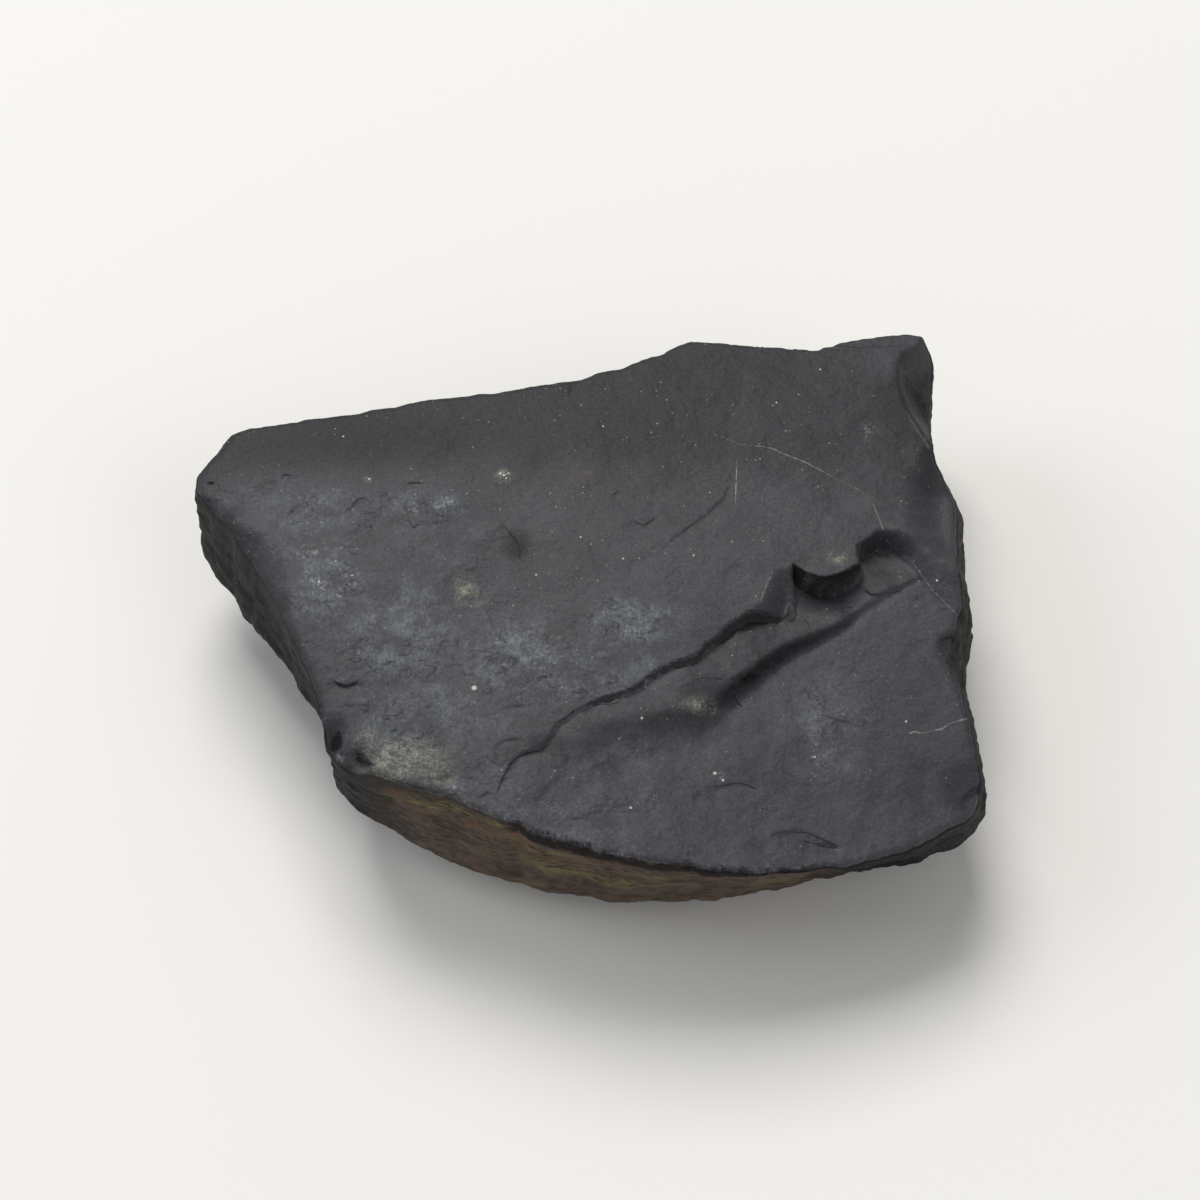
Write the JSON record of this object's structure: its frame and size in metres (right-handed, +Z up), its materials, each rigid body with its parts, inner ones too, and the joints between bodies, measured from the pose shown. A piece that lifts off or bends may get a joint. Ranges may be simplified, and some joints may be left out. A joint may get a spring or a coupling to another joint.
{
  "type": "shungite rock",
  "caption": "Thick flake of black shungite with a domed cleavage face, a ragged stepped edge with a notch, and layered fracture sides.",
  "frame": {"origin": "on the resting surface, below the middle of the stone's outline in plan", "axes": "+Z up from the resting surface, through the stone's thickness; +X along its longest side, towards the low right end; -Y towards the brown fracture side"},
  "size_m": [0.034, 0.027, 0.0093],
  "materials": {
    "shungite": "matte to satin, charcoal with a bluish-grey bloom, brown fracture side"
  },
  "bodies": {
    "root": {"rock": "shungite"}
  },
  "joints": []
}
